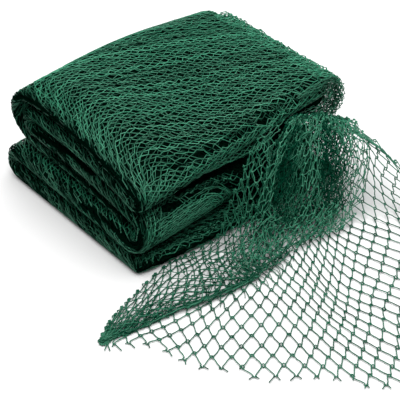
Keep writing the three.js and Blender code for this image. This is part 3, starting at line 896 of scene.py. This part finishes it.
def spreadNet():
    i = np.arange(loose["columns"]) + loose["firstColumn"]
    j = np.arange(loose["rows"]) + loose["firstRow"]
    gi, gj = np.meshgrid(i, j, indexing="ij")
    points = warpPoint(gi, gj)
    s = (gi + gj) / 2
    last = np.where(gi <= 0, 0, np.where(gi < 12, 1, 2))
    there = ((gi + gj) % 2 == 0) & (s >= loose["start"]) & (gj <= last)
    there &= insideOutline(spreadEdge, points[..., 0], points[..., 1])
    rise = np.clip(points[..., 2] / loose["fullRise"], 0, 1)
    points[..., 1] -= loose["pleat"] * rise * np.sin(gi * loose["pleatTurn"])
    points[..., 2] = points[..., 2] + rng.normal(0, loose["heightJitter"], gi.shape)
    points[..., 2] = np.maximum(points[..., 2], loose["leastHeight"])
    points[..., :2] += rng.normal(0, loose["jitter"], points[..., :2].shape)
    twines = latticeNet(points, loopKnot, loose["shade"], there, barPoints=2, sag=0.2, room=loose["room"])
    for a, b in np.argwhere(there):
        for da in (-1, 1):
            na, nb = a + da, b + 1
            inGrid = 0 <= na < len(i) and nb < len(j)
            if inGrid and not there[na, nb] and gj[a, b] >= cutEnds["row"] and s[a, b] > cutEnds["start"]:
                way = unit(points[na, nb] - points[a, b]) + rng.normal(0, cutEnds["stray"], 3) * [1, 1, 0.1]
                long = rng.uniform(cutEnds["shortest"], cutEnds["longest"])
                t = np.linspace(cutEnds["from"], 1, 4)[:, None]
                end = points[a, b] + way * long * t + [0, 0, cutEnds["rise"]]
                twines.add(end, 1.0, rng.normal(0.3, 0.12))
    return twines


addPiece("looseNet", spreadNet(), loose, looseTwine)

# Hanging root: rows from the packet's front down to the table, each with its right, middle and left point
hangRows = rowsOf(
    "name right middle left",
    ("exit", (243, -8, 50), (201, -5, 75), (151, 1, 88)),
    ("shoulder", (241, -28, 59), (188, -16, 66), (132, -3, 77)),
    ("fall", (241, -50, 53), (172, -30, 46), (114, -7, 58)),
    ("foot", (241, -63, 32), (158, -44, 20), (100, -13, 34)),
    ("ground", (234, -77, 8), (148, -56, 7), (85, -22, 12)),
    ("gather", (226, -90, 3), (132, -68, 4), (60, -50, 3)))
hang = np.array([[row["right"], row["middle"], row["left"]] for row in hangRows], float)
# Pleats of the root, and the ways along which they and the layers stand off it
pleat = {"deep": 4.5, "fullHeight": 30, "count": 3, "start": 0.02}
pleatWay = np.array([-0.4, -1, 0.3])
layerWay = np.array([-0.5, -0.8, 0.55])


def cubicThrough(a, b, c, d, f):
    return 0.5 * (2 * b + (c - a) * f + (2 * a - 5 * b + 4 * c - d) * f ** 2
                  + (3 * b - a - 3 * c + d) * f ** 3)


def spanAt(count, t):
    # the span between two of the points that t falls in, and how far along it
    x = np.clip(t, 0, 1) * (count - 1)
    k = np.minimum(x.astype(int), count - 2)
    return k, (x - k)[..., None]


def smoothPath(knots, t):
    # even cubic through a row of points, t from 0 to 1; knots may carry extra axes
    knots = np.asarray(knots, float)
    k, f = spanAt(len(knots), t)
    a, b, c, d = (knots[np.clip(k + m, 0, len(knots) - 1)] for m in (-1, 0, 1, 2))
    return cubicThrough(a, b, c, d, f)


def hangPlace(down, t, lift):
    # place on the root: down from the packet to the table, t from its right edge to its left, lift outwards
    t3 = t[..., None]
    stack = np.stack([right * (1 - t3) * (1 - 2 * t3) + middle * 4 * t3 * (1 - t3) + left * t3 * (2 * t3 - 1)
                      for right, middle, left in hang])
    k, f = spanAt(len(hang), down)
    a, b, c, d = (np.take_along_axis(stack, np.clip(k + m, 0, len(hang) - 1)[None, ..., None], axis=0)[0]
                  for m in (-1, 0, 1, 2))
    point = cubicThrough(a, b, c, d, f)
    deep = pleat["deep"] * np.clip(point[..., 2] / pleat["fullHeight"], 0, 1)
    deep = deep * np.sin(math.pi * np.clip(down, pleat["start"], 1))
    wave = deep * np.sin(2 * math.pi * pleat["count"] * t + lift)
    return point + wave[..., None] * pleatWay + lift * layerWay


# Layers of the hanging root, from the outermost in; the lower a layer's lift, the lower its shade: painted
# shade
# right and left are its edges as shares of the hang's width, at the top and at the foot
curtains = rowsOf(
    "columns rows right rightFoot left leftFoot reach lift jitter shade phase",
    (44, 26, 0, 0.3, 0.76, 0.95, 0.97, 4.5, 1, 0.8, 0),
    (36, 22, 0.08, 0.42, 0.77, 0.92, 0.86, 3, 0.9, 0.2, 1.7),
    (36, 22, 0.12, 0.42, 0.76, 0.9, 0.76, 1.5, 1, -0.1, 3.4),
    (40, 26, 0.16, 0.4, 0.76, 0.88, 0.72, 0, 1, -0.3, 5.1),
    (4, 20, 0.87, 0.93, 1, 1, 0.95, 4, 0.8, 0.55, 6.8))
curtain = {"leastHeight": 1.2, "sag": 0.7, "shadeSpread": 0.14, "radius": 0.42}


def curtainNet(sheet):
    # one layer of the hanging root between two of its lines, from the right edge to the left
    gk, gm = latticeNumbers(sheet["columns"] + 1, sheet["rows"] + 1)
    down = gm / sheet["rows"] + 0.02 * np.sin(gk * 0.8 + sheet["phase"])
    t = gk / sheet["columns"] + 0.012 * np.sin(gm * 1.3 + sheet["phase"])
    down = np.clip(down, 0, 1) * sheet["reach"]
    right = sheet["right"] + (sheet["rightFoot"] - sheet["right"]) * down ** 1.5
    left = sheet["left"] + (sheet["leftFoot"] - sheet["left"]) * down
    points = hangPlace(down, right + (left - right) * np.clip(t, 0, 1), sheet["lift"])
    points = points + rng.normal(0, sheet["jitter"], points.shape)
    points[..., 2] = np.maximum(points[..., 2], curtain["leastHeight"])
    shade = (sheet["shade"], curtain["shadeSpread"])
    return latticeNet(points, plainKnot, shade, barPoints=1, sag=curtain["sag"])


addPieces("curtainNet", curtains, curtainNet, curtain, looseTwine)

# Rolled edge, from its thick end to the tip, and the selvage of the layer folded back, in mm
rollLine = {"x": [184, 154, 135, 116, 95, 77, 60, 25, -13, -46, -75],
            "y": [-60, -66, -67, -66, -69, -69, -69, -63, -53, -47, -38],
            "z": [12, 8, 7, 6, 5, 5, 4, 4, 3, 2, 2],
            "radius": [1.8, 3, 3.8, 4, 3.8, 3.4, 3, 2.5, 2, 1.6, 1.2]}
selvageLine = {"x": [118, 92, 54, 22, -10, -38, -56, -75], "y": [-12, -12, -9, -8, -12, -18, -26, -36],
               "z": [12, 5, 3, 2, 2, 2, 2, 1.5]}
rollPath = np.array([rollLine[name] for name in ("x", "y", "z")], float).T
rollRadius = np.array(rollLine["radius"], float)[:, None]
selvagePath = np.array([selvageLine[name] for name in ("x", "y", "z")], float).T

# Layers folded back over the spread net; the lower a layer drops, the lower its shade: painted shade
flaps = rowsOf(
    "steps lines from drop shade phase",
    (32, 8, 0, 0, 0.35, 0),
    (38, 8, 0.4, 1.2, 0.2, 2.1),
    (44, 6, 0.68, 2, 0.1, 4.2))
flap = {"slant": 0.35, "meetsRoll": 0.3, "arch": 4, "archRound": 0.7, "fullGap": 30, "sway": 1.2,
        "swayTurn": 0.5, "jitter": 0.5, "leastHeight": 1.1, "radius": 0.45}


def flapNet(sheet):
    # a layer folded back over the spread net, drawn out along its own length
    gk, gm = latticeNumbers(sheet["steps"] + 1, sheet["lines"])
    u = np.clip((gk + flap["slant"] * gm) / sheet["steps"], 0, 1)
    v = sheet["from"] + (1 - sheet["from"]) * gm / (sheet["lines"] - 1)
    a = smoothPath(selvagePath, u)
    b = smoothPath(rollPath, np.clip(flap["meetsRoll"] + (1 - flap["meetsRoll"]) * u, 0, 1))
    points = a + (b - a) * v[..., None]
    gap = np.clip(np.linalg.norm(b - a, axis=-1) / flap["fullGap"], 0, 1)
    points[..., 2] += (flap["arch"] - sheet["drop"]) * np.sin(math.pi * v) ** flap["archRound"] * gap
    points[..., 1] += flap["sway"] * gap * np.sin(gk * flap["swayTurn"] + sheet["phase"])
    points += rng.normal(0, flap["jitter"], points.shape)
    points[..., 2] = np.maximum(points[..., 2], flap["leastHeight"])
    return latticeNet(points, plainKnot, (sheet["shade"], 0.12), barPoints=1)


addPieces("flapNet", flaps, flapNet, flap, looseTwine)

# Gathered edge: twines bunched round one line, the first few of them all along it, and ends that hang off it
bunch = {"lines": 13, "longLines": 4, "longStep": 0.1, "points": 70, "leastHeight": 0.9, "jitter": 0.4,
         "swell": 1.7, "swellEvery": 5, "ends": 16, "endsFrom": 0.3, "endsTo": 0.75, "endHeight": 1.4,
         "endBow": 2.5, "radius": 0.42}


def rollNet():
    twines = Twines()
    for line in range(bunch["lines"]):
        first = max(rng.uniform(-0.3, 0.8), 0)
        if line < bunch["longLines"]:
            first, last = bunch["longStep"] * line, 1
        else:
            last = min(first + rng.uniform(0.25, 0.6), 1)
        t = np.linspace(first, last, bunch["points"])
        centre = smoothPath(rollPath, t)
        radius = smoothPath(rollRadius, t)[:, 0]
        way = unit(np.gradient(centre, axis=0))
        side = unit(np.cross(way, [0, 0, 1.0]))
        over = np.cross(side, way)
        phase = rng.uniform(0, 2 * math.pi)
        angle = phase + 0.6 * np.sin(t * rng.uniform(9, 20) + phase) + t * rng.uniform(-4, 4)
        r = radius * rng.uniform(0.25, 0.95) * (1 + 0.35 * np.sin(t * rng.uniform(20, 50) + phase))
        path = centre + side * (r * np.cos(angle))[:, None] + over * (r * np.sin(angle))[:, None]
        path += rng.normal(0, bunch["jitter"], path.shape)
        path[:, 2] = np.maximum(path[:, 2], bunch["leastHeight"])
        swell = np.ones(len(t))
        swell[rng.integers(0, bunch["swellEvery"])::bunch["swellEvery"]] = bunch["swell"]
        twines.add(path, swell, rng.normal(0.45, 0.2))
    bow = np.linspace(0, 1, 5)[:, None]
    for place in np.linspace(bunch["endsFrom"], bunch["endsTo"], bunch["ends"]):
        root = smoothPath(rollPath, np.array([place]))[0] + rng.normal(0, 1, 3)
        fall = np.array([rng.normal(-3, 3), rng.uniform(-15, -9), 0])
        path = root * [1, 1, 0] + [0, 0, bunch["endHeight"]] + fall * bow
        path = path + [bunch["endBow"], 0, 0] * np.sin(math.pi * bow)
        twines.add(path, 0.8, rng.normal(0.3, 0.12))
    return twines


addPiece("rolledEdge", rollNet(), bunch, looseTwine)
print("loose end ready")

# Table and light, in metres

tableHalf = 6
tableMesh = bpy.data.meshes.new("table")
tableCorners = [(x * tableHalf, y * tableHalf, 0) for x, y in ((-1, -1), (1, -1), (1, 1), (-1, 1))]
tableMesh.from_pydata(tableCorners, [], [(0, 1, 2, 3)])
table = addObject("table", tableMesh)
# painted board, matt and nearly white
tableLook, tableTree = newMaterial("whiteTable")
tableShader = addNode(tableTree, "ShaderNodeBsdfPrincipled", Base_Color=linearColour("#e4e4e4"),
                      Roughness=0.9, Specular_IOR_Level=0.0)
finishMaterial(tableTree, tableShader)
tableMesh.materials.append(tableLook)

studio = {"surround": 0.32, "lightPlace": (0.06, 0.12, 1.6), "lightTarget": (0, 0, 0), "lightSize": 2.2,
          "lightWatts": 54}
world = bpy.data.worlds.new("studio")
bpy.context.scene.world = world
world.use_nodes = True
world.node_tree.nodes["Background"].inputs["Color"].default_value = (1, 1, 1, 1)
world.node_tree.nodes["Background"].inputs["Strength"].default_value = studio["surround"]

lightData = bpy.data.lights.new("softbox", "AREA")
lightData.shape = "SQUARE"
lightData.size = studio["lightSize"]
lightData.energy = studio["lightWatts"]
softbox = addObject("softbox", lightData)
lightPlace = np.array(studio["lightPlace"], float)
lightBack = unit(lightPlace - np.array(studio["lightTarget"], float))
lightRight = unit(np.cross([0, 1, 0], lightBack))
softbox.matrix_world = axesMatrix(lightRight, np.cross(lightBack, lightRight), lightBack, lightPlace)
bpy.context.scene.view_settings.view_transform = "Standard"

for piece in pieces:
    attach(piece, "root")
    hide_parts("netting")
